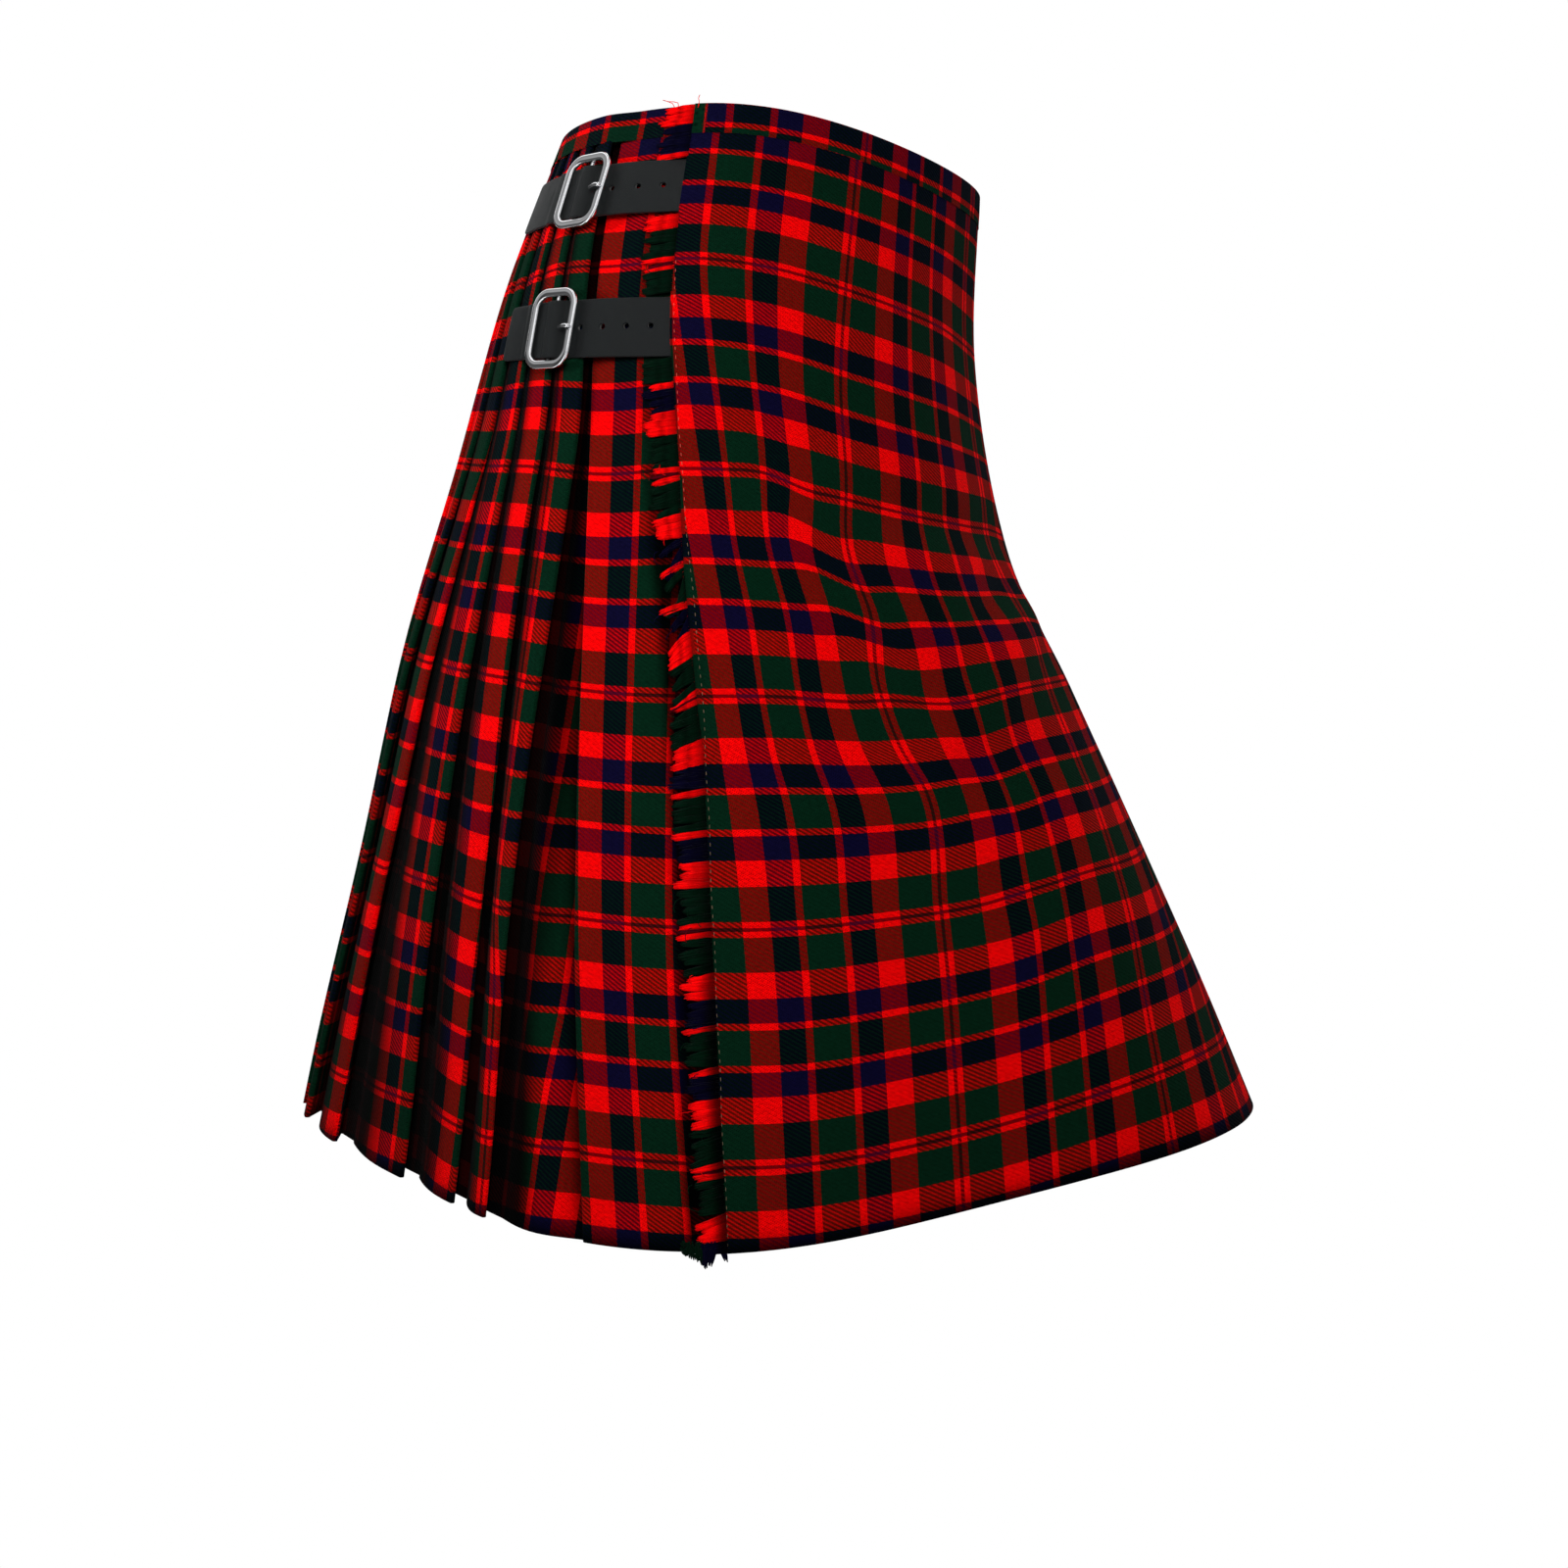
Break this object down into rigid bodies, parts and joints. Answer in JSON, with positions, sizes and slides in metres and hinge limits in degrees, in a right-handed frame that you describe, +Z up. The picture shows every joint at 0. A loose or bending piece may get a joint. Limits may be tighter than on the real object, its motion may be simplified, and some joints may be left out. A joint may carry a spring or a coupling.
{
  "type": "scottish kilt, worn hollow form",
  "caption": "Tartan wool kilt in its worn hollow form, with two aprons, knife pleats, waistband, fringed apron edge, leather straps and chrome buckles",
  "frame": {"origin": "middle of the waist opening, where the wearer holds the kilt up", "axes": "+Z up; -Y is the wearer's front; -X is the wearer's right side"},
  "size_m": [0.4634, 0.5562, 0.573],
  "materials": {
    "tartan_cloth": "worsted wool twill in a red, green and navy check",
    "fringe_yarn": "frayed worsted weft yarn",
    "strap_leather": "matt black leather with cut edges",
    "buckle_chrome": "bright chrome plate"
  },
  "bodies": {
    "root": {"over_apron": "tartan_cloth", "under_apron": "tartan_cloth", "pleats_right": "tartan_cloth", "pleats_left": "tartan_cloth", "waistband_over": "tartan_cloth", "waistband_back": "tartan_cloth", "apron_fringe": "fringe_yarn", "waistband_fringe": "fringe_yarn", "strap_top": "strap_leather", "strap_lower": "strap_leather", "strap_left": "strap_leather", "chape_top": "strap_leather", "chape_lower": "strap_leather", "chape_left": "strap_leather", "buckle_top_frame": "buckle_chrome", "buckle_lower_frame": "buckle_chrome", "buckle_left_frame": "buckle_chrome", "buckle_top_tongue": "buckle_chrome", "buckle_lower_tongue": "buckle_chrome", "buckle_left_tongue": "buckle_chrome"}
  },
  "joints": []
}
